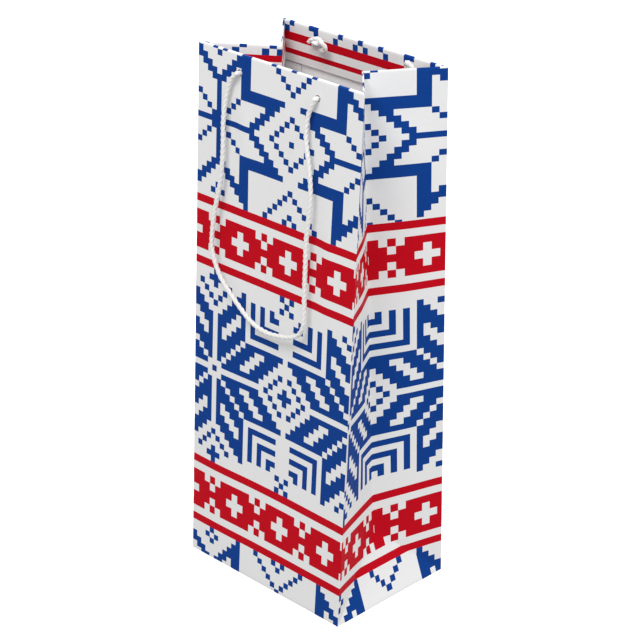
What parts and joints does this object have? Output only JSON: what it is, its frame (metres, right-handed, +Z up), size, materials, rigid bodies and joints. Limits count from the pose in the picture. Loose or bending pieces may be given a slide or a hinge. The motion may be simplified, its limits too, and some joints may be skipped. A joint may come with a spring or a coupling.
{
  "type": "wine gift bag",
  "caption": "Tall paper gift bag for a bottle, with a flat base, pushed-in side gussets, a turned-in rim and cord handles",
  "frame": {"origin": "middle of the flat underside, on the surface the bag stands on", "axes": "+Z up along the bag, -Y out of the front wall, +X towards the right gusset seen from the front"},
  "size_m": [0.134, 0.0927, 0.3377],
  "materials": {
    "printed_paper": "satin coated, printed in blue and red on the outer side",
    "greyboard": "matte",
    "cord": "twisted, soft sheen"
  },
  "bodies": {
    "bag": {"front_panel": "printed_paper", "back_panel": "printed_paper", "right_gusset_front_half": "printed_paper", "right_gusset_rear_half": "printed_paper", "right_gusset_base_triangle": "printed_paper", "left_gusset_front_half": "printed_paper", "left_gusset_rear_half": "printed_paper", "left_gusset_base_triangle": "printed_paper", "side_glue_tab": "printed_paper", "front_rim_hem": "printed_paper", "back_rim_hem": "printed_paper", "right_gusset_front_hem": "printed_paper", "right_gusset_rear_hem": "printed_paper", "left_gusset_front_hem": "printed_paper", "left_gusset_rear_hem": "printed_paper", "front_base_flap": "printed_paper", "back_base_flap": "printed_paper", "right_base_flap": "printed_paper", "left_base_flap": "printed_paper", "front_rim_card": "greyboard", "back_rim_card": "greyboard", "base_board": "greyboard", "front_handle_left_knot": "cord", "front_handle_right_knot": "cord", "back_handle_left_knot": "cord", "back_handle_right_knot": "cord"},
    "front_handle": {"front_handle": "cord"},
    "back_handle": {"back_handle": "cord"}
  },
  "joints": [
    {"name": "front_handle_swing", "type": "hinge", "parent": "bag", "child": "front_handle", "pos_m": [0, -0.0294, 0.32684], "axis": [-1, 0, 0], "range_deg": [0, 180]},
    {"name": "back_handle_swing", "type": "hinge", "parent": "bag", "child": "back_handle", "pos_m": [0, 0.03985, 0.32684], "axis": [1, 0, 0], "range_deg": [0, 180]}
  ]
}
